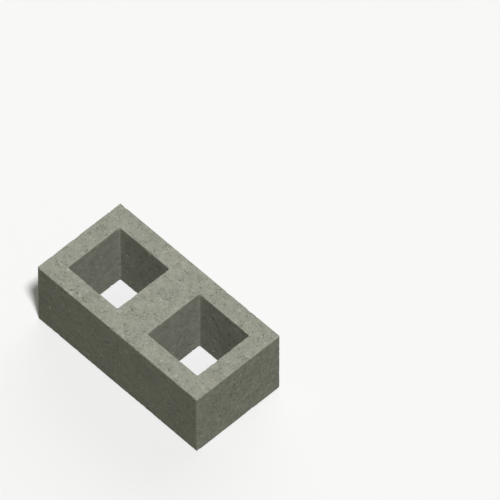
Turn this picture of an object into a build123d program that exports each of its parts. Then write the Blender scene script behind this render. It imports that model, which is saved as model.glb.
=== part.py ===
"""Two-core hollow concrete block, pressed in one piece.

Frame: +X runs along the block's length, +Y across its width and +Z up through the cores.
The origin is the middle of the lower bed face. All sizes are in millimetres.
"""

import math
import os

from build123d import *

# Overall size
block_length = 400.0
block_width = 200.0
block_height = 150.0

# Wall thicknesses at the upper bed face, where the cores are widest
face_shell = 38.0  # the two long walls
end_web = 38.0  # the two short walls
centre_web = 76.0  # the cross wall, thick enough to be sawn into two end webs

# What the mould leaves on the block
core_draft_angle = 0.4  # degrees that each core wall leans in towards the lower bed face
core_corner_radius = 3.0  # upright corners inside the cores
corner_radius = 2.0  # upright corners outside
bed_arris_radius = 1.2  # rim of both bed faces
core_mouth_chamfer = 1.0  # rim of each core at both bed faces

# What is left for the two cores
core_length = (block_length - 2 * end_web - centre_web) / 2
core_width = block_width - 2 * face_shell
core_pitch = core_length + centre_web


def bed_faces(block):
    """The lower and the upper bed face."""
    level_faces = block.faces().filter_by(Axis.Z).sort_by(Axis.Z)
    return level_faces.first, level_faces.last


with BuildPart() as concrete_block:
    # The solid body and its upright corners
    with BuildSketch(Plane.XY):
        RectangleRounded(block_length, block_width, corner_radius)
    extrude(amount=block_height)

    # Both cores, cut right through
    with BuildSketch(Plane.XY):
        with GridLocations(core_pitch, 0, 2, 1):
            Rectangle(core_length, core_width)
    extrude(amount=block_height, mode=Mode.SUBTRACT)

    # The core walls lean in below the upper bed face, so that the mould's cores pull out
    core_walls = concrete_block.faces(Select.LAST).filter_by(Axis.Z, reverse=True)
    draft(core_walls, Plane.XY.offset(block_height), core_draft_angle)

    # Rounded upright corners inside the cores
    upright_edges = concrete_block.edges().group_by(Axis.Z)[1]
    core_corners = upright_edges.filter_by_position(Axis.Y, -core_width / 2, core_width / 2)
    fillet(core_corners, radius=core_corner_radius)

    # Rounded outer rim of each bed face
    for bed in bed_faces(concrete_block):
        fillet(bed.outer_wire().edges(), radius=bed_arris_radius)

    # Bevelled mouths of the cores in each bed face
    for bed in bed_faces(concrete_block):
        for core_rim in bed.inner_wires():
            chamfer(core_rim.edges(), length=core_mouth_chamfer)

concrete_block.part.label = "concrete_block"

narrowing = 2 * block_height * math.tan(math.radians(core_draft_angle))
print(f"core at the upper bed face {core_length:.1f} x {core_width:.1f} mm")
print(f"core at the lower bed face {core_length - narrowing:.1f} x {core_width - narrowing:.1f} mm")
print(f"volume {concrete_block.part.volume / 1e6:.3f} litres")

os.makedirs("parts", exist_ok=True)
export_step(concrete_block.part, "parts/concrete_block.step")
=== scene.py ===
# %% [markdown]
# # A dry-pressed concrete block
#
# A hollow wall block is made in one press stroke. Damp, stiff concrete is shaken into a steel mould round
# two steel cores, a stamp levels the top, and the block is pushed out at once. The fresh block has to stand
# by itself, so the mix holds very little water, and that gives the block its look: flat faces, crisp
# arrises, and a skin of packed sand with small open pores instead of a smooth film of cement.
#
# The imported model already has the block's true shape and size. This script dresses it. It sinks pits,
# packed grains and crumbled arrises into a fine skin over that shape, and mixes one concrete finish.

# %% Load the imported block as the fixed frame
import math

import bpy
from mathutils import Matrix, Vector


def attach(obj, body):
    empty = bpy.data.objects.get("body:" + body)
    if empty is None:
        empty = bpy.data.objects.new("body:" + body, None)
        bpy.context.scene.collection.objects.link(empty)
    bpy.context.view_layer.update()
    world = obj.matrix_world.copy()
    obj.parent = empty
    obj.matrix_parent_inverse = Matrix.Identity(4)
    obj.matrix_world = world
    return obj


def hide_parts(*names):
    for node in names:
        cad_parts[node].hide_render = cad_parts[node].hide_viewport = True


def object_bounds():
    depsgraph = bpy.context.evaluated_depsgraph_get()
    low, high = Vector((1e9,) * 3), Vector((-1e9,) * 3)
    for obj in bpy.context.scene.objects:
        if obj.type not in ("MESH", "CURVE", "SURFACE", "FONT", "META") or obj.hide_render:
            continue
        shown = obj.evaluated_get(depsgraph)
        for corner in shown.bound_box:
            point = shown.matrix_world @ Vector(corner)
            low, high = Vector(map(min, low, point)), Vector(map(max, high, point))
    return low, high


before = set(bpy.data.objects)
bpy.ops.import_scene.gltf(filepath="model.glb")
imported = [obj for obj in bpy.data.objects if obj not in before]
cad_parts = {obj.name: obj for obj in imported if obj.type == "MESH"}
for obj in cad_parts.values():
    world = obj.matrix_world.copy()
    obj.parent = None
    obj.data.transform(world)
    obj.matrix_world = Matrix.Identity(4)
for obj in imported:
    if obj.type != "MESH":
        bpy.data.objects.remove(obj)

MM = 0.001  # every length here is in metres
cad_low, cad_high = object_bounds()
cad_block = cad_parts["concrete_block"]
print("block, metres:", [round(high - low, 4) for low, high in zip(cad_low, cad_high)])

# %% [markdown]
# ## The camera
#
# The photograph has no vanishing points: edges that are parallel on the block stay parallel in it. An
# orthographic camera sees things like that, and so does a real lens that is very long and very far away.
# The long lens is chosen here. It stands so far off that it never dips under the floor, even when it is
# walked round the block and looks at it from low down.
#
# The camera is aimed from one point that is easy to find in the photograph, the near top corner of the
# block. The rest follows from the viewing angle and from how many pixels a metre takes.

# %% Say how the photograph looks at the block
FRAME_PIXELS = 500
NEAR_CORNER_PIXEL = (196.8, 400.6)
PIXELS_PER_METRE = 579.6
AZIMUTH = math.radians(46.0)  # 0 looks at the long side, and 90 at the right end
ELEVATION = math.radians(53.3)
CAMERA_DISTANCE = 25.0
CAMERA_REACH = 100.0  # past the far edge of the floor

near_corner = Vector((cad_high.x, cad_low.y, cad_high.z))
print("near top corner, metres:", [round(value, 3) for value in near_corner])

# %% [markdown]
# In Blender a camera, a lamp and a mesh are only data, and each needs an object in the scene to hold it. A
# camera looks and a lamp shines along its object's -Z axis. So two short helpers serve them all.


# %% Put things in the scene and turn them
def put_in(name, data):
    """Make an object that holds a camera, a lamp or a mesh, and link it into the scene."""
    thing = bpy.data.objects.new(name, data)
    bpy.context.collection.objects.link(thing)
    return thing


def look_from(thing, back):
    """Turn a camera or a lamp so that its back points in a direction."""
    thing.rotation_mode = "QUATERNION"
    thing.rotation_quaternion = back.to_track_quat("Z", "Y")


print("helpers: put_in, look_from")


# %% Aim the camera
def aim_camera():
    """A long lens that sees the near corner at its own pixel, with no shift."""
    back = Vector((
        math.sin(AZIMUTH) * math.cos(ELEVATION),
        -math.cos(AZIMUTH) * math.cos(ELEVATION),
        math.sin(ELEVATION),
    ))
    right = Vector((math.cos(AZIMUTH), math.sin(AZIMUTH), 0))
    up = back.cross(right)
    middle = FRAME_PIXELS / 2
    target = near_corner + right * (middle - NEAR_CORNER_PIXEL[0]) / PIXELS_PER_METRE
    target += up * (NEAR_CORNER_PIXEL[1] - middle) / PIXELS_PER_METRE
    data = bpy.data.cameras.new("photo_camera")
    data.lens = data.sensor_width * PIXELS_PER_METRE * CAMERA_DISTANCE / FRAME_PIXELS
    data.clip_end = CAMERA_REACH
    camera = put_in("photo_camera", data)
    camera.location = target + back * CAMERA_DISTANCE
    look_from(camera, back)
    bpy.context.scene.camera = camera
    return camera


camera = aim_camera()
print("lens, mm:", round(camera.data.lens))

# %% [markdown]
# ## The light
#
# The three visible directions have three clear tones in the photograph: the top is light, the right end
# about half as bright, and the long side darker still. One soft lamp high over the camera's shoulder gives
# such tones, and it looks into the cores along with the camera, so no shadow shows in them. How bright a
# matt face looks depends on how squarely it faces the lamp. So the lamp's direction is written as the
# share of its light that a face along each axis gets.

# %% Hang the key lamp
KEY_SHARES = Vector((0.375, -0.192, 0.91))  # on a face turned to +X, to -Y and upwards
KEY_STRENGTH = 2.98
KEY_SOFTNESS = math.radians(8)


def hang_key_lamp():
    """The soft lamp over the camera's shoulder."""
    data = bpy.data.lights.new("key_lamp", "SUN")
    data.energy = KEY_STRENGTH * KEY_SHARES.length
    data.angle = KEY_SOFTNESS
    look_from(put_in("key_lamp", data), KEY_SHARES)
    return data


key_lamp = hang_key_lamp()
print("key lamp strength:", round(key_lamp.energy, 2))

# %% [markdown]
# The room, the skin and the finish are all built from nodes. A script that wires nodes one by one is long
# and hard to read, so short helpers do it. The first ones fill a socket and add a node with its inputs.

# %% Add nodes
NODES_IN_A_ROW = 10
NODE_STEP = (220, -320)  # in the node editor, to the next node of a row and down to the next row


def feed(tree, socket, value):
    """Wire another node's output into a socket, or set a plain value on it."""
    if isinstance(value, bpy.types.NodeSocket):
        tree.links.new(value, socket)
    else:
        socket.default_value = value


def add(tree, kind, inputs=(), **options):
    """Add a node with its options and inputs, and return its outputs."""
    node = tree.nodes.new(kind)
    row, column = divmod(len(tree.nodes), NODES_IN_A_ROW)
    node.location = (NODE_STEP[0] * column, NODE_STEP[1] * row)
    for option, value in options.items():
        setattr(node, option, value)
    for name, value in dict(inputs).items():
        feed(tree, node.inputs[name], value)
    return node.outputs


print("helpers: feed, add")

# %% [markdown]
# Two more turn a value into something to see. Nearly every mask is a value that is eased from low to high
# between two thresholds, because an edge that is cut off at one threshold looks like paper.


# %% Ease and blend
def ramp(tree, value, start, end, low=0.0, high=1.0):
    """Ease from low to high while the value goes from start to end."""
    inputs = {"Value": value, "From Min": start, "From Max": end, "To Min": low, "To Max": high}
    return add(tree, "ShaderNodeMapRange", inputs, interpolation_type="SMOOTHSTEP")["Result"]


def blend_colours(tree, share, first, second):
    """From the first colour to the second as the share goes from 0 to 1."""
    node = tree.nodes.new("ShaderNodeMix")
    node.data_type = "RGBA"
    feed(tree, node.inputs["Factor"], share)
    sockets = [socket for socket in node.inputs if socket.type == "RGBA"]
    for socket, colour in zip(sockets, (first, second)):
        feed(tree, socket, colour)
    return next(socket for socket in node.outputs if socket.type == "RGBA")


print("helpers: ramp, blend_colours")

# %% [markdown]
# The rest of the light is a dim, even room. A pale wall low behind the block lights its two far sides,
# the long one more than the end, so that the block has three tones from behind as well. The picture is
# shown with the Standard view, which adds no film-like curve, because the photograph's tones are plain.

# %% Paint the room
ROOM_COLOUR = (0.088, 0.087, 0.053, 1)
WALL_COLOUR = (1.0, 1.0, 0.98, 1)
WALL_DIRECTION = Vector((-0.45, 0.87, 0.2))  # towards the wall, and of length 1
WALL_RANGE = (0.55, 0.97)  # how squarely one looks at the wall, at its edge and where it is palest


def paint_room():
    """A dim room all round, with a pale wall low behind the block."""
    world = bpy.data.worlds.new("studio_room")
    bpy.context.scene.world = world
    world.use_nodes = True
    tree = world.node_tree
    direction = add(tree, "ShaderNodeTexCoord")["Generated"]
    facing = add(tree, "ShaderNodeVectorMath", {0: direction, 1: WALL_DIRECTION}, operation="DOT_PRODUCT")
    share = ramp(tree, facing["Value"], *WALL_RANGE)
    colour = blend_colours(tree, share, ROOM_COLOUR, WALL_COLOUR)
    feed(tree, tree.nodes["Background"].inputs["Color"], colour)
    return world


room = paint_room()
bpy.context.scene.view_settings.view_transform = "Standard"
print("room:", room.name, "shown with", bpy.context.scene.view_settings.view_transform)

# %% [markdown]
# ## The floor
#
# The block lies on a plain pale floor. It has to be very large, because the long lens sees it far behind
# the block when it looks from low down. It shows and takes shadows, but throws no light back up, since the
# photograph's sides keep one even tone down to their foot.

# %% Lay the floor
FLOOR_HALF = 30.0
FLOOR_DROP = 0.2 * MM  # below the block's foot, so that the two faces never flicker through each other
FLOOR_COLOUR = (0.885, 0.885, 0.90, 1)


def paint_floor():
    """Matt off-white paint."""
    paint = bpy.data.materials.new("pale_floor")
    paint.use_nodes = True
    shader = paint.node_tree.nodes["Principled BSDF"]
    shader.inputs["Base Color"].default_value = FLOOR_COLOUR
    shader.inputs["Roughness"].default_value = 1.0
    shader.inputs["Specular IOR Level"].default_value = 0.0
    return paint


def lay_floor():
    """A large sheet just under the block."""
    corners = [(-1, -1), (1, -1), (1, 1), (-1, 1)]
    points = [(FLOOR_HALF * x, FLOOR_HALF * y, -FLOOR_DROP) for x, y in corners]
    mesh = bpy.data.meshes.new("floor")
    mesh.from_pydata(points, [], [(0, 1, 2, 3)])
    mesh.materials.append(paint_floor())
    floor = put_in("floor", mesh)
    floor.visible_diffuse = False
    return floor


floor = lay_floor()
print("floor, metres across:", round(floor.dimensions.x))

# %% [markdown]
# ## A fine net over the moulded shape
#
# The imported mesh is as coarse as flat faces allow: long thin triangles from rim to rim. Pits and crumbs
# need points that can move, so a copy of the shape is covered with an even net of small squares.
# Subdividing would keep the long thin shapes, only smaller. A voxel remesh makes the same small squares
# everywhere and keeps the shape closed.

# %% Copy the moulded shape
WELD_REACH = 0.001 * MM  # far below the smallest edge of the shape


def settle(piece):
    """Turn an object's modifiers into its plain mesh, and take the modifiers off."""
    ready = piece.evaluated_get(bpy.context.evaluated_depsgraph_get())
    mesh = bpy.data.meshes.new_from_object(ready)
    mesh.name = piece.name
    piece.modifiers.clear()
    piece.data = mesh
    return piece


def copy_of_shape():
    """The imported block's mesh with its loose triangles joined up."""
    mesh = cad_block.data.copy()
    mesh.materials.clear()
    shape = put_in("moulded_shape", mesh)
    weld = shape.modifiers.new("weld", "WELD")
    weld.merge_threshold = WELD_REACH
    return settle(shape)


shape = copy_of_shape()
print("points of the moulded shape:", len(shape.data.vertices))

# %% Cover it with the net
NET_SIZE = 1 * MM


def cover_with_net():
    """A net of small squares over the moulded shape."""
    net = put_in("net", shape.data)
    remesh = net.modifiers.new("remesh", "REMESH")
    remesh.mode = "VOXEL"
    remesh.voxel_size = NET_SIZE
    return settle(net)


net = cover_with_net()
print("squares in the net:", len(net.data.polygons))

# %% [markdown]
# ## What the press leaves on the surface
#
# The relief follows rules, so it is made with Geometry Nodes: every point of the net is sunk straight in
# by the sum of a few depths. Nothing stands proud, because the mould's steel was there. Each rule gets a
# short function, and all sizes are inputs of the tree, so they can be changed on the modifier.
#
# The rules are arithmetic on places and numbers, so the helpers for that come first.


# %% Do sums with nodes
def sums(tree, operation, *values):
    """One step of arithmetic on numbers."""
    return add(tree, "ShaderNodeMath", dict(enumerate(values)), operation=operation)[0]


def vectors(tree, operation, first, second):
    """One step of arithmetic on vectors. The second value of SCALE is a number."""
    name = "Scale" if operation == "SCALE" else 1
    return add(tree, "ShaderNodeVectorMath", {0: first, name: second}, operation=operation)[0]


def between(tree, share, low, high):
    """Straight from low to high as the share goes from 0 to 1."""
    return sums(tree, "MULTIPLY_ADD", share, high - low, low)


print("helpers: sums, vectors, between")

# %% [markdown]
# Two textures do all the drawing. **Noise** gives soft patches. **Cells** give things that are packed side
# by side, as the grains of sand are. A place that is nudged about a little before a texture reads it gives
# the drawing a **ragged** outline, and without that the cells would look as if cut with a knife.

# %% Draw with nodes
NOISE_MIDDLE = (0.5, 0.5, 0.5)  # noise swings to both sides of this


def noise(tree, place, size, detail=2.0, roughness=0.5):
    """Soft random patches of about one size."""
    scale = sums(tree, "DIVIDE", 1.0, size)
    inputs = {"Vector": place, "Scale": scale, "Detail": detail, "Roughness": roughness}
    return add(tree, "ShaderNodeTexNoise", inputs)


def cells(tree, place, size):
    """Packed cells of about one size: the distance from a cell's middle, and a colour for each cell."""
    return add(tree, "ShaderNodeTexVoronoi", {"Vector": place, "Scale": sums(tree, "DIVIDE", 1.0, size)})


def ragged(tree, place, size, amount):
    """The place, nudged about by noise of a size by up to half the amount each way."""
    nudge = vectors(tree, "SUBTRACT", noise(tree, place, size)["Color"], NOISE_MIDDLE)
    return vectors(tree, "ADD", place, vectors(tree, "SCALE", nudge, amount))


print("helpers: noise, cells, ragged")

# %% [markdown]
# The sizes of what the press leaves stand together here, so that they can be compared with each other and
# with a real block. All are real lengths, apart from the two that say otherwise.

# %% Name the sizes
PRESS_SIZES = {
    "Crumb Size": 9 * MM,  # along an arris
    "Crumb Width": 4 * MM,  # in from the arris
    "Crumb Depth": 1 * MM,
    "Crumb Crowding": 40 * MM,  # the size of a stretch with many crumbs or with none
    "Pit Spacing": 7.5 * MM,
    "Pit Radius": 3.2 * MM,  # of the largest
    "Pit Depth": 0.6,  # as a share of the pit's radius
    "Pit Rarity": 20.0,  # a power: the higher it is, the fewer pits are large
    "Pit Rag Size": 2.5 * MM,  # the size of the nicks in a pit's outline
    "Pit Raggedness": 4.2 * MM,  # how far they push it about
    "Film Size": 14 * MM,
    "Grain Size": 4.6 * MM,
    "Grain Height": 0.13 * MM,
    "Ripple Size": 45 * MM,
    "Ripple Height": 0.25 * MM,
}
PRESS_SEED = 12
print("sizes:", len(PRESS_SIZES))


# %% Start the tree
def start_press_tree():
    """A tree with a named input for the net, the moulded shape, each size, the seed and the finish."""
    tree = bpy.data.node_groups.new("pressed_surface", "GeometryNodeTree")
    tree.is_modifier = True
    tree.interface.new_socket("Net", in_out="INPUT", socket_type="NodeSocketGeometry")
    tree.interface.new_socket("Moulded Shape", in_out="INPUT", socket_type="NodeSocketObject")
    for name, size in PRESS_SIZES.items():
        socket = tree.interface.new_socket(name, in_out="INPUT", socket_type="NodeSocketFloat")
        socket.default_value = size
    seed = tree.interface.new_socket("Seed", in_out="INPUT", socket_type="NodeSocketInt")
    seed.default_value = PRESS_SEED
    tree.interface.new_socket("Finish", in_out="INPUT", socket_type="NodeSocketMaterial")
    tree.interface.new_socket("Skin", in_out="OUTPUT", socket_type="NodeSocketGeometry")
    return tree, add(tree, "NodeGroupInput")


press_tree, given = start_press_tree()
place = add(press_tree, "GeometryNodeInputPosition")["Position"]
mould = add(press_tree, "GeometryNodeObjectInfo", {"Object": given["Moulded Shape"]})["Geometry"]
print("inputs of the tree:", ", ".join(socket.name for socket in given if socket.name))

# %% [markdown]
# **Arrises** are the block's outer edges. The fresh concrete is weakest there, so crumbs fall off. To know
# where the arrises are, the moulded shape's bent edges are separated from it, and each point of the net
# measures how far it is from the nearest one. An angle without a sign would pick the inner corners of the
# cores too, but nothing crumbles in a corner that is full of concrete.

# %% Find the arrises
LEAST_BEND = math.radians(8)  # an edge that bends less isn't counted


def nearness_to_arris(tree):
    """1 on an arris, easing to 0 at the crumb width."""
    bend = add(tree, "GeometryNodeInputMeshEdgeAngle")["Signed Angle"]
    picked = {"Geometry": mould, "Selection": sums(tree, "GREATER_THAN", bend, LEAST_BEND)}
    arrises = add(tree, "GeometryNodeSeparateGeometry", picked, domain="EDGE")["Selection"]
    inputs = {"Geometry": arrises, "Sample Position": place}
    away = add(tree, "GeometryNodeProximity", inputs, target_element="EDGES")["Distance"]
    return ramp(tree, away, 0.0, given["Crumb Width"], 1.0, 0.0)


arris = nearness_to_arris(press_tree)
print("nodes so far:", len(press_tree.nodes))

# %% [markdown]
# **Crumbs** leave small ragged bites. Noise makes them: where it rises above a level, a bite begins. Bites
# that came evenly would look like the teeth of a zip, so a second, slower noise moves the level. It stays
# high along most of an arris and drops where many crumbs fell together.

# %% Crumble the arrises
CROWD_RANGE = (0.35, 0.65)  # the slow noise, where no crumbs fell and where the most did
BITE_LEVELS = (0.62, 0.46)  # above which a bite begins, in those two places
BITE_SLOPE = 0.2  # how far above the level a bite has its full depth


def bites_from_arris(tree):
    """How much of the arris is missing, from 0 to 1."""
    crowd = noise(tree, place, given["Crumb Crowding"])["Fac"]
    level = ramp(tree, crowd, *CROWD_RANGE, *BITE_LEVELS)
    rise = sums(tree, "SUBTRACT", noise(tree, place, given["Crumb Size"])["Fac"], level)
    return sums(tree, "MULTIPLY", ramp(tree, rise, 0.0, BITE_SLOPE), arris)


broken = bites_from_arris(press_tree)
crumb_depth = sums(press_tree, "MULTIPLY", broken, given["Crumb Depth"])
print("nodes so far:", len(press_tree.nodes))

# %% [markdown]
# **Pits** are holes where a pocket of air sat against the steel, or where a grain was dragged out. Seeds
# are strewn over the shape and each point asks which seed is nearest. Most seeds are given next to no
# radius and only a few a large one, because in real concrete small holes are common and large ones rare.

# %% Strew seeds for the pits
SEEDS_TO_A_SQUARE = 4.0  # more than the spacing has room for, so that it fills the shape


def strew_seeds(tree):
    """Points over the whole shape, never closer together than the spacing."""
    spacing = given["Pit Spacing"]
    most = sums(tree, "DIVIDE", SEEDS_TO_A_SQUARE, sums(tree, "MULTIPLY", spacing, spacing))
    inputs = {"Mesh": mould, "Distance Min": spacing, "Density Max": most, "Seed": given["Seed"]}
    return add(tree, "GeometryNodeDistributePointsOnFaces", inputs, distribute_method="POISSON")["Points"]


def read_seed(tree, seeds, nearest, value, kind):
    """What the nearest seed has for a value."""
    inputs = {"Geometry": seeds, "Index": nearest, "Value": value}
    return add(tree, "GeometryNodeSampleIndex", inputs, data_type=kind)["Value"]


seeds = strew_seeds(press_tree)
print("nodes so far:", len(press_tree.nodes))

# %% Sink the pits
PIT_WALL = (0.35, 1.0)  # the shares of the radius that its wall lies between
LEAST_RADIUS = 0.01 * MM  # too small to show, but safe to divide by
NUMBER_OUTPUT = 1  # of a Random Value node, whose outputs all have the same name


def sink_pits(tree):
    """How much a point lies in a pit, from 0 to 1, and how deep it is sunk there."""
    probe = ragged(tree, place, given["Pit Rag Size"], given["Pit Raggedness"])
    nearest = add(tree, "GeometryNodeSampleNearest", {"Geometry": seeds, "Sample Position": probe})["Index"]
    centre = read_seed(tree, seeds, nearest, place, "FLOAT_VECTOR")
    chance = add(tree, "FunctionNodeRandomValue", {"Seed": given["Seed"]})[NUMBER_OUTPUT]
    luck = sums(tree, "POWER", read_seed(tree, seeds, nearest, chance, "FLOAT"), given["Pit Rarity"])
    radius = sums(tree, "MAXIMUM", sums(tree, "MULTIPLY", given["Pit Radius"], luck), LEAST_RADIUS)
    away = add(tree, "ShaderNodeVectorMath", {0: probe, 1: centre}, operation="DISTANCE")["Value"]
    pit = ramp(tree, sums(tree, "DIVIDE", away, radius), *PIT_WALL, 1.0, 0.0)
    return pit, sums(tree, "MULTIPLY", pit, sums(tree, "MULTIPLY", radius, given["Pit Depth"]))


pit, pit_depth = sink_pits(press_tree)
print("nodes so far:", len(press_tree.nodes))

# %% [markdown]
# **Grains** of coarse sand lie packed against the steel with small dips between them. Where the mix was a
# little wetter, a **film** of cement fills the dips, so the block has smooth and coarse patches. The film
# is gone where a crumb broke off. A much slower **ripple** keeps large faces from being as flat as glass.

# %% Pack the grains
FILM_RANGE = (0.38, 0.62)  # the noise, where the skin is bare and where the film closes it
FILM_LEAVES = 0.2  # the share of a dip that is left under the film
DIP_RANGE = (0.15, 0.75)  # the distance from a grain's middle that its rounded side lies between


def cover_with_film(tree):
    """How well a film of cement closes the skin, from 0 to 1."""
    cover = ramp(tree, noise(tree, place, given["Film Size"])["Fac"], *FILM_RANGE)
    return sums(tree, "MULTIPLY", cover, between(tree, broken, 1.0, 0.0))


def depth_of_grain(tree):
    """Small dips between the grains, where the film leaves them open, on a slow ripple."""
    dips = ramp(tree, cells(tree, place, given["Grain Size"])["Distance"], *DIP_RANGE)
    dips = sums(tree, "MULTIPLY", dips, between(tree, film, 1.0, FILM_LEAVES))
    ripple = sums(tree, "MULTIPLY", noise(tree, place, given["Ripple Size"])["Fac"], given["Ripple Height"])
    return sums(tree, "MULTIPLY_ADD", dips, given["Grain Height"], ripple)


film = cover_with_film(press_tree)
grain_depth = depth_of_grain(press_tree)
print("nodes so far:", len(press_tree.nodes))

# %% [markdown]
# The depths are added up and the net is sunk by the sum. What the finish needs to know goes with the mesh
# as named attributes: where the pits, the arrises and the film are, and which faces slid along the mould
# as the block was pushed out of it. The tree ends by setting the finish.

# %% Sink the net
DRAWN_RANGE = (0.3, 0.7)  # how far up or down a face looks, from a wall to a bed face


def keep_attribute(tree, geometry, name, value):
    """Keep a value on every point under a name."""
    inputs = {"Geometry": geometry, "Name": name, "Value": value}
    return add(tree, "GeometryNodeStoreNamedAttribute", inputs)["Geometry"]


def finish_press_tree(tree):
    """Keep the attributes, sink the net, and give it its finish."""
    normal = add(tree, "GeometryNodeInputNormal")["Normal"]
    upward = add(tree, "ShaderNodeSeparateXYZ", {"Vector": normal})["Z"]
    drawn = ramp(tree, sums(tree, "ABSOLUTE", upward), *DRAWN_RANGE, 1.0, 0.0)
    result = given["Net"]
    for name, value in {"pit": pit, "arris": arris, "film": film, "drawn": drawn}.items():
        result = keep_attribute(tree, result, name, value)
    depth = sums(tree, "ADD", sums(tree, "ADD", pit_depth, crumb_depth), grain_depth)
    inward = vectors(tree, "SCALE", normal, sums(tree, "MULTIPLY", depth, -1.0))
    result = add(tree, "GeometryNodeSetPosition", {"Geometry": result, "Offset": inward})["Geometry"]
    result = add(tree, "GeometryNodeRealizeInstances", {"Geometry": result})["Geometry"]
    inputs = {"Geometry": result, "Material": given["Finish"]}
    result = add(tree, "GeometryNodeSetMaterial", inputs)["Geometry"]
    add(tree, "NodeGroupOutput", {"Skin": result})


finish_press_tree(press_tree)
print("nodes in the whole tree:", len(press_tree.nodes))

# %% [markdown]
# ## The concrete finish
#
# Up close the skin is a packed bed of sand. Each grain has a shade of its own, a few larger stones show
# through, and between them there are open pores that look dark because little light gets out of them.
# From further off all that blends into a quiet grey, with slow cloudy changes where the mix was wetter.
#
# A picture of concrete could be laid over the block, but it would repeat and stretch. Procedural textures
# on Object coordinates run through the block like real grain and have their size in millimetres. They are
# gathered as named effects, and only at the end is it decided how much each one shades or lifts the skin.

# %% Start the finish
concrete = bpy.data.materials.new("concrete")
concrete.use_nodes = True
mix = concrete.node_tree
where = add(mix, "ShaderNodeTexCoord")["Object"]


def from_skin(name):
    """A value that the press tree kept on the points of the skin."""
    return add(mix, "ShaderNodeAttribute", attribute_name=name)["Fac"]


effects = {name: from_skin(name) for name in ("film", "pit", "arris")}
print("effects from the skin:", ", ".join(effects))

# %% [markdown]
# Each further effect is a shader node group with named inputs. It puts out masks and values only, and is
# placed in the material with its own sizes, as often as it is needed.


# %% Start a shader group
def start_group(name, wants, gives):
    """A shader node group that reads a place and named numbers, and gives out named values."""
    group = bpy.data.node_groups.new(name, "ShaderNodeTree")
    group.interface.new_socket("Vector", in_out="INPUT", socket_type="NodeSocketVector")
    for title in wants:
        group.interface.new_socket(title, in_out="INPUT", socket_type="NodeSocketFloat")
    for title in gives:
        group.interface.new_socket(title, in_out="OUTPUT", socket_type="NodeSocketFloat")
    return group, add(group, "NodeGroupInput")


def use_group(group, inputs):
    """Place a group in the finish with its own values."""
    node = mix.nodes.new("ShaderNodeGroup")
    node.node_tree = group
    node.label = group.name
    feed(mix, node.inputs["Vector"], where)
    for name, value in inputs.items():
        feed(mix, node.inputs[name], value)
    return node.outputs


print("helpers: start_group, use_group")

# %% [markdown]
# ** Packed grains** are cells again, finer than those in the mesh. The distance to a cell's middle gives a
# round dome for each grain and a crevice round it that is darkened as painted shade, and the cell's random
# colour gives it a shade of its own.

# %% Packed grains
GRAIN_WOBBLE = 0.8  # how ragged a grain is, as a share of its size
DOME_REACH = 0.75  # how far a dome reaches from its middle, in sizes
# The crevice mask only darkens the colour as painted shade in the gaps; it is not part of the relief.
CREVICE_SHADE_RANGE = (0.42, 0.72)  # where the crevice begins and where it is deepest


def make_grains():
    """Grains side by side: a dome and a mask for painted crevice shade from 0 to 1, and a shade from -1 to
    1.
    """
    group, given = start_group("packed_grains", ["Size"], ["Dome", "Crevice", "Shade"])
    wobble = sums(group, "MULTIPLY", given["Size"], GRAIN_WOBBLE)
    grain = cells(group, ragged(group, given["Vector"], given["Size"], wobble), given["Size"])
    chance = add(group, "ShaderNodeSeparateColor", {"Color": grain["Color"]})["Red"]
    gives = {
        "Dome": ramp(group, grain["Distance"], 0.0, DOME_REACH, 1.0, 0.0),
        "Crevice": ramp(group, grain["Distance"], *CREVICE_SHADE_RANGE),
        "Shade": between(group, chance, -1.0, 1.0),
    }
    add(group, "NodeGroupOutput", gives)
    return group


grains = make_grains()
print("packed grains:", len(grains.nodes), "nodes")

# %% [markdown]
# Three sizes of grain lie over each other. The film of cement hides most of the coarse ones, while the
# fine ones and the dust of the crusher are part of the film itself.

# %% Place the grains
COARSE_GRAIN = 2.8 * MM
FINE_GRAIN = 1.2 * MM
DUST_GRAIN = 0.5 * MM
FILM_SHOWS = 0.3  # the share of the coarse grains that still shows through the film

coarse = use_group(grains, {"Size": COARSE_GRAIN})
fine = use_group(grains, {"Size": FINE_GRAIN})
dust = use_group(grains, {"Size": DUST_GRAIN})
bare = between(mix, effects["film"], 1.0, FILM_SHOWS)
# The coarse crevices become painted shade in the colour where the film leaves them bare.
for part in ("Shade", "Dome", "Crevice"):
    effects["coarse " + part.lower()] = sums(mix, "MULTIPLY", coarse[part], bare)
effects["fine shade"] = fine["Shade"]
effects["fine dome"] = fine["Dome"]
effects["dust shade"] = dust["Shade"]
effects["dust dome"] = dust["Dome"]
print("effects:", ", ".join(effects))

# %% [markdown]
# **Stones** are the largest pieces of the mix that touch the mould. Only some of the cells are picked, and
# each gets a reach of its own and a ragged outline.

# %% Stones that show in the skin
STONE_WOBBLE = 0.4  # the size of the nicks in a stone's outline, as a share of the stone
STONE_REACH = (0.25, 0.55)  # from a stone's middle, of the smallest and of the largest
STONE_RIM = 0.08  # how soft its outline is


def make_stones():
    """A few separate stones: a mask from 0 to 1, and a chance from 0 to 1 that picks their colour."""
    group, given = start_group("stones", ["Size", "Share"], ["Mask", "Chance"])
    nick = sums(group, "MULTIPLY", given["Size"], STONE_WOBBLE)
    stone = cells(group, ragged(group, given["Vector"], nick, given["Size"]), given["Size"])
    chance = add(group, "ShaderNodeSeparateColor", {"Color": stone["Color"]})
    reach = between(group, chance["Green"], *STONE_REACH)
    inside = ramp(group, sums(group, "SUBTRACT", reach, stone["Distance"]), 0.0, STONE_RIM)
    picked = sums(group, "LESS_THAN", chance["Red"], given["Share"])
    mask = sums(group, "MULTIPLY", inside, picked)
    add(group, "NodeGroupOutput", {"Mask": mask, "Chance": chance["Blue"]})
    return group


stones = make_stones()
print("stones:", len(stones.nodes), "nodes")

# %% Place the stones
STONE_SIZES = {"small stones": 3.5 * MM, "large stones": 8 * MM}
STONE_SHARE = 0.3

stone_chances = {}
for name, size in STONE_SIZES.items():
    placed = use_group(stones, {"Size": size, "Share": STONE_SHARE})
    effects[name] = placed["Mask"]
    stone_chances[name] = placed["Chance"]
print("effects:", ", ".join(effects))
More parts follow.
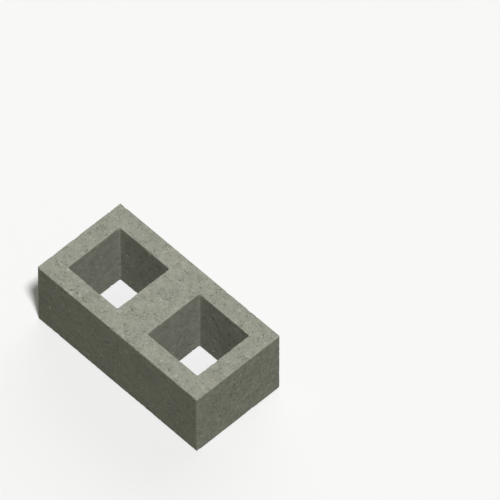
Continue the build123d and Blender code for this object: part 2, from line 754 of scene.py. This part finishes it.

# %% [markdown]
# ** Open pores** are where sand is missing. Noise with some detail, cut off at a level, leaves islands of
# every size with ragged shores. They fade in from the shore, so that a small pore is never as dark or as
# deep as a wide one, and their darkness is painted shade. Under the film the level is higher, so fewer
# pores are open there.

# %% Open pores
PORE_DETAIL = 2.5
PORE_ROUGHNESS = 0.6
PORE_SHORE = 0.13


def make_pores():
    """Ragged islands from 0 to 1. A higher level leaves fewer of them."""
    group, given = start_group("open_pores", ["Size", "Level"], ["Mask"])
    islands = noise(group, given["Vector"], given["Size"], PORE_DETAIL, PORE_ROUGHNESS)["Fac"]
    mask = ramp(group, sums(group, "SUBTRACT", islands, given["Level"]), 0.0, PORE_SHORE)
    add(group, "NodeGroupOutput", {"Mask": mask})
    return group


pores = make_pores()
print("open pores:", len(pores.nodes), "nodes")

# %% Place the pores
PORE_SIZES = {"wide pores": 4.5 * MM, "fine pores": 1.9 * MM}
PORE_LEVELS = {"wide pores": (0.61, 0.67), "fine pores": (0.58, 0.66)}  # on bare skin, and under the film

for name, size in PORE_SIZES.items():
    level = between(mix, effects["film"], *PORE_LEVELS[name])
    effects[name] = use_group(pores, {"Size": size, "Level": level})["Mask"]
print("effects:", ", ".join(effects))

# %% [markdown]
# **Drag lines** are faint upright scratches that the steel leaves as the block is pushed out of it. They
# are noise that is stretched along Z, and only the faces that slid along the steel have them. **Clouds**
# are the slow changes of shade over the whole block.


# %% Drag lines and clouds
def make_drag_lines():
    """Upright streaks from -1 to 1."""
    group, given = start_group("drag_lines", ["Width", "Length"], ["Streak"])
    across = sums(group, "DIVIDE", 1.0, given["Width"])
    along = sums(group, "DIVIDE", 1.0, given["Length"])
    stretch = add(group, "ShaderNodeCombineXYZ", {"X": across, "Y": across, "Z": along})["Vector"]
    streak = noise(group, vectors(group, "MULTIPLY", given["Vector"], stretch), size=1.0)["Fac"]
    add(group, "NodeGroupOutput", {"Streak": between(group, streak, -1.0, 1.0)})
    return group


def make_clouds():
    """Soft patches from -1 to 1."""
    group, given = start_group("clouds", ["Size", "Detail"], ["Cloud"])
    cloud = noise(group, given["Vector"], given["Size"], given["Detail"])["Fac"]
    add(group, "NodeGroupOutput", {"Cloud": between(group, cloud, -1.0, 1.0)})
    return group


drag_lines = make_drag_lines()
clouds = make_clouds()
print("drag lines and clouds:", len(drag_lines.nodes), "and", len(clouds.nodes), "nodes")

# %% Place the drag lines and the clouds
DRAG_LINE_SIZES = {"Width": 2.5 * MM, "Length": 45 * MM}
CLOUD_SIZES = {"Size": 70 * MM, "Detail": 3.0}

streaks = use_group(drag_lines, DRAG_LINE_SIZES)["Streak"]
effects["streaks"] = sums(mix, "MULTIPLY", streaks, from_skin("drawn"))
effects["clouds"] = use_group(clouds, CLOUD_SIZES)["Cloud"]
print("effects:", ", ".join(effects))

# %% [markdown]
# ## Mixing the colour
#
# The cement is a warm, slightly green grey. The stones keep their own colours under a veil of cement, so
# they are blended in first. Then every effect lightens or darkens the mix by its share, and the crevices
# between the grains get painted shade. Holes come last, and painted shade darkens whatever is there.

# %% Colour the stones
CEMENT_COLOUR = (0.296, 0.306, 0.258, 1)
STONE_COLOURS = [
    (0.13, 0.135, 0.125, 1),  # dark basalt
    (0.21, 0.19, 0.155, 1),  # brown flint
    (0.38, 0.345, 0.265, 1),  # ochre sandstone
    (0.46, 0.45, 0.40, 1),  # pale quartz
]
STONE_SHOWS = 0.5  # how much of a stone's colour shows through the cement on it


def colour_of_stones(chance):
    """One of the stone colours, picked by a chance from 0 to 1."""
    picked = add(mix, "ShaderNodeValToRGB", {"Fac": chance})["Color"]
    stops = picked.node.color_ramp
    stops.interpolation = "CONSTANT"
    while len(stops.elements) < len(STONE_COLOURS):
        stops.elements.new(1.0)
    for number, colour in enumerate(STONE_COLOURS):
        stops.elements[number].position = number / len(STONE_COLOURS)
        stops.elements[number].color = colour
    return picked


mixed_colour = CEMENT_COLOUR
for name, chance in stone_chances.items():
    shows = sums(mix, "MULTIPLY", effects[name], STONE_SHOWS)
    mixed_colour = blend_colours(mix, shows, mixed_colour, colour_of_stones(chance))
print("nodes in the finish:", len(mix.nodes))

# %% Shade the mix
TONE_AND_PAINTED_SHADE_SHARES = {
    "clouds": 0.14,
    "film": 0.05,
    "coarse shade": 0.12,
    "fine shade": 0.12,
    "dust shade": 0.10,
    "streaks": 0.10,
    "arris": 0.04,
    # painted shade in the crevices between the coarse grains
    "coarse crevice": -0.13,
}
# painted shade in the pores and pits, as if little light got out of them
PAINTED_HOLE_SHADE = {"wide pores": -0.48, "fine pores": -0.38, "pit": -0.30}


def shade_of_effects():
    """By how much every effect together lightens or darkens the mix, with painted shade in crevices, pores
    and pits.
    """
    light = 1.0
    for name, share in TONE_AND_PAINTED_SHADE_SHARES.items():
        light = sums(mix, "MULTIPLY_ADD", effects[name], share, light)
    for name, share in PAINTED_HOLE_SHADE.items():
        light = sums(mix, "MULTIPLY", light, between(mix, effects[name], 1.0, 1.0 + share))
    return light


shader = mix.nodes["Principled BSDF"]
feed(mix, shader.inputs["Base Color"], vectors(mix, "SCALE", mixed_colour, shade_of_effects()))
print("nodes in the finish:", len(mix.nodes))

# %% [markdown]
# ## Relief and roughness
#
# The net holds what is larger than a few millimetres. Anything finer would need millions of triangles, so
# the same effects lift and sink the skin with a Bump node. Their heights are in millimetres too, which
# keeps them true beside the relief in the mesh. Concrete is nearly as rough as a surface can be, and only
# the large stones, worn smooth in a river bed, are a little less so.

# %% Give it relief
RELIEF_MM = {
    "film": 0.20,
    "coarse dome": 0.26,
    "fine dome": 0.10,
    "dust dome": 0.06,
    "streaks": 0.09,
    "fine pores": -0.40,
    "wide pores": -0.90,
}
ROUGHNESS = 0.93
STONE_ROUGHNESS = 0.78
SPECULAR_LEVEL = 0.3


def relief_of_effects():
    """Every effect's height, added up in millimetres, as a bumped normal."""
    height = 0.0
    for name, share in RELIEF_MM.items():
        height = sums(mix, "MULTIPLY_ADD", effects[name], share, height)
    return add(mix, "ShaderNodeBump", {"Height": height, "Distance": 1 * MM, "Strength": 1.0})["Normal"]


feed(mix, shader.inputs["Normal"], relief_of_effects())
feed(mix, shader.inputs["Roughness"], between(mix, effects["large stones"], ROUGHNESS, STONE_ROUGHNESS))
shader.inputs["Specular IOR Level"].default_value = SPECULAR_LEVEL
print("nodes in the finish:", len(mix.nodes))

# %% [markdown]
# ## Press the block
#
# The net, the tree and the finish meet here. A new object takes the net's mesh and gets the tree as a
# modifier. The modifier knows its inputs by identifiers, not by the names that a person reads, so a loop
# looks the identifiers up and sets the inputs before anything is worked out.
#
# Sinking the net leaves far more triangles than the flat stretches need, so a second modifier thins it and
# keeps points where the surface bends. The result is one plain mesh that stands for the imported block.


# %% Press the net
def press_net():
    """An object with the net's mesh and the press tree on it."""
    skin = put_in("pressed_block", net.data)
    press = skin.modifiers.new("press", "NODES")
    press.node_group = press_tree
    chosen = {"Moulded Shape": shape, "Finish": concrete}
    for item in press_tree.interface.items_tree:
        if item.in_out == "INPUT" and item.name in chosen:
            press[item.identifier] = chosen[item.name]
    return skin


skin = press_net()
print("modifiers on the skin:", [modifier.name for modifier in skin.modifiers])

# %% Thin the skin and keep its plain mesh
SKIN_TRIANGLES = 190_000
TRIANGLES_IN_A_SQUARE = 2
SHARPEST_SMOOTH = math.radians(40)  # an edge that bends more is shaded as a sharp one

thin = skin.modifiers.new("thin", "DECIMATE")
thin.ratio = min(1.0, SKIN_TRIANGLES / (TRIANGLES_IN_A_SQUARE * len(net.data.polygons)))
settle(skin)
for helper in (shape, net):
    bpy.data.objects.remove(helper)
skin.data.shade_smooth()
skin.data.set_sharp_from_angle(angle=SHARPEST_SMOOTH)
skin.data.calc_loop_triangles()
print("triangles in the skin:", len(skin.data.loop_triangles))
print("kept on its points:", [item.name for item in skin.data.attributes if item.data_type == "FLOAT"])

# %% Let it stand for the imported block
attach(skin, "root")
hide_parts("concrete_block")
print(skin.name, "stands for", cad_block.name)
